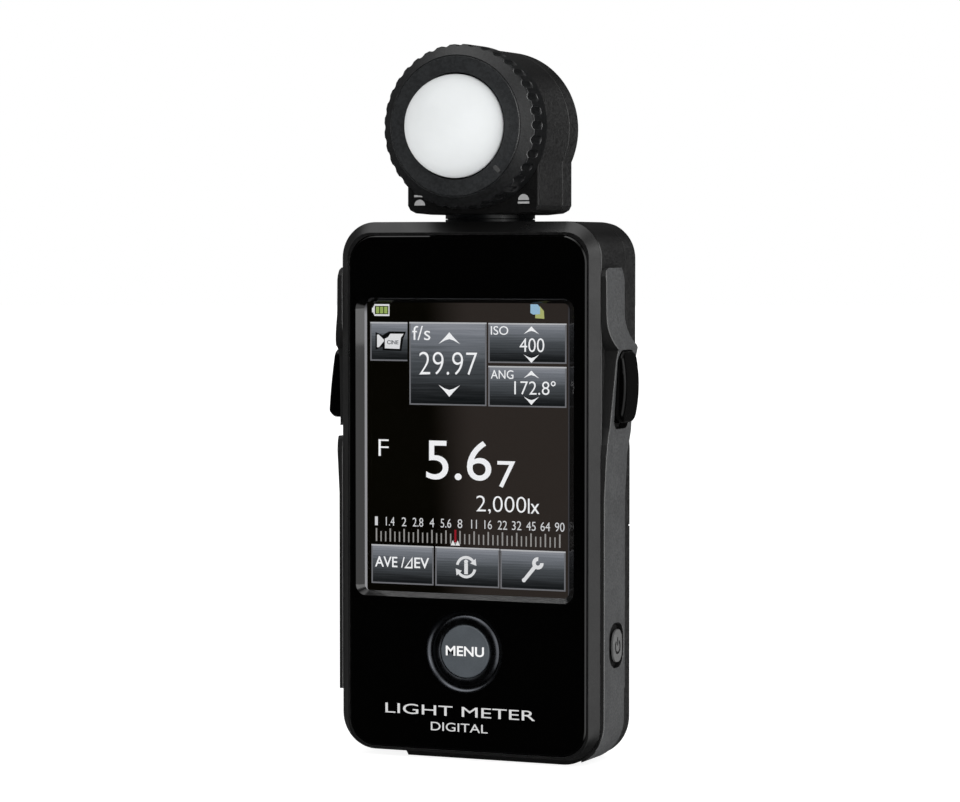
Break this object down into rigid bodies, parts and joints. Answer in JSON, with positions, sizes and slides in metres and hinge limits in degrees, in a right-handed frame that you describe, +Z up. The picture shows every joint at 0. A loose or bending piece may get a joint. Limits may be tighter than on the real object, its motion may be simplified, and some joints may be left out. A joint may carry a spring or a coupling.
{
  "type": "handheld light meter",
  "caption": "Handheld photographic light meter with a touch display, side buttons, battery door and a swivelling head whose ring retracts the dome.",
  "frame": {"origin": "mouth of the tripod socket in the base, on the axis about which the head swivels", "axes": "+Z up along the body towards the head, -Y is the display side, +X to the viewer's right"},
  "size_m": [0.0641, 0.0366, 0.1404],
  "materials": {
    "bezel": "satin",
    "panel_gloss": "polished",
    "cover_glass": "polished",
    "display": "polished, lit when in use",
    "pressed_steel": "pressed sheet",
    "menu_key": "satin",
    "circuit_board": "solder mask",
    "switch_plastic": "moulded",
    "case_plastic": "fine spark texture",
    "black_screw": "black oxide",
    "grip": "soft-touch, fine grain",
    "rubber_cover": "fine grain",
    "button_gloss": "polished",
    "button_satin": "satin",
    "bright_steel": "turned or drawn",
    "nickel": "nickel plate",
    "brass_insert": "turned",
    "inner_plastic": "moulded",
    "cell_can": "plain jacket",
    "neck_gloss": "semi-gloss",
    "head_plastic": "fine spark texture",
    "ring_plastic": "fine spark texture",
    "dome_diffuser": "opal, translucent",
    "filter_glass": "polished",
    "cable_jacket": "insulated lead"
  },
  "bodies": {
    "body": {"front_bezel": "bezel", "front_panel": "panel_gloss", "touch_glass": "cover_glass", "lcd_module": "display", "lcd_frame": "pressed_steel", "menu_ring": "panel_gloss", "key_board": "circuit_board", "menu_switch": "switch_plastic", "rear_case": "case_plastic", "case_screws": "black_screw", "side_grip_right": "grip", "side_grip_left": "grip", "side_switches": "switch_plastic", "power_switch": "switch_plastic", "main_board": "circuit_board", "board_screws": "bright_steel", "shield_can": "pressed_steel", "usb_socket": "pressed_steel", "sync_socket": "nickel", "tripod_bush": "brass_insert", "strap_bar": "bright_steel", "battery_tray": "inner_plastic", "battery_cell_lower": "cell_can", "battery_cell_upper": "cell_can", "battery_springs": "bright_steel", "battery_contacts": "bright_steel", "neck_ring": "neck_gloss", "neck_bush": "inner_plastic"},
    "menu_key": {"menu_button": "menu_key"},
    "measure_key": {"measure_button": "button_gloss"},
    "memory_key": {"memory_button": "button_gloss"},
    "power_key": {"power_button": "button_satin"},
    "socket_cover": {"terminal_cover": "rubber_cover"},
    "battery_cover": {"battery_door": "case_plastic", "door_hinge_pin": "bright_steel"},
    "battery_latch": {"door_latch": "button_satin"},
    "head": {"head_plate": "neck_gloss", "swivel_shaft": "bright_steel", "swivel_clip": "bright_steel", "swivel_stop": "bright_steel", "head_front_shell": "head_plastic", "head_rear_cover": "head_plastic", "head_screws": "black_screw", "dome_guide": "inner_plastic", "sensor_board": "circuit_board", "photodiode": "pressed_steel", "sensor_filter": "filter_glass", "sensor_cable": "cable_jacket"},
    "ring": {"retraction_ring": "ring_plastic", "ring_clip": "bright_steel"},
    "dome_unit": {"dome": "dome_diffuser", "dome_carrier": "inner_plastic", "guide_pins": "bright_steel"}
  },
  "joints": [
    {"name": "head_swivel", "type": "hinge", "parent": "body", "child": "head", "pos_m": [0, 0, 0.1063], "axis": [0, 0, 1], "range_deg": [-90, 180]},
    {"name": "ring_turn", "type": "hinge", "parent": "head", "child": "ring", "pos_m": [0, -0.0125, 0.12445], "axis": [0, 1, 0], "range_deg": [0, 84]},
    {"name": "dome_retract", "type": "slide", "parent": "head", "child": "dome_unit", "axis": [0, 1, 0], "range_m": [0, 0.0094]},
    {"name": "menu_press", "type": "slide", "parent": "body", "child": "menu_key", "axis": [0, 1, 0], "range_m": [0, 0.0006], "stiffness_N_per_m": 1200, "springref_m": -0.0003},
    {"name": "measure_press", "type": "slide", "parent": "body", "child": "measure_key", "axis": [-1, 0, 0], "range_m": [0, 0.0008], "stiffness_N_per_m": 1200, "springref_m": -0.0003},
    {"name": "memory_press", "type": "slide", "parent": "body", "child": "memory_key", "axis": [1, 0, 0], "range_m": [0, 0.0008], "stiffness_N_per_m": 1200, "springref_m": -0.0003},
    {"name": "power_press", "type": "slide", "parent": "body", "child": "power_key", "axis": [-1, 0, 0], "range_m": [0, 0.0004], "stiffness_N_per_m": 1200, "springref_m": -0.0003},
    {"name": "socket_cover_hinge", "type": "hinge", "parent": "body", "child": "socket_cover", "pos_m": [-0.02775, 0.00075, 0.0546], "axis": [0, 0, -1], "range_deg": [0, 100]},
    {"name": "battery_door_hinge", "type": "hinge", "parent": "body", "child": "battery_cover", "pos_m": [0, 0.00625, 0.0063], "axis": [-1, 0, 0], "range_deg": [0, 95]},
    {"name": "battery_latch_slide", "type": "slide", "parent": "battery_cover", "child": "battery_latch", "axis": [0, 0, 1], "range_m": [0, 0.0016]}
  ],
  "couplings": [
    {"joint": "ring_turn", "follows": "dome_retract", "rad_per_m": 155.97}
  ]
}
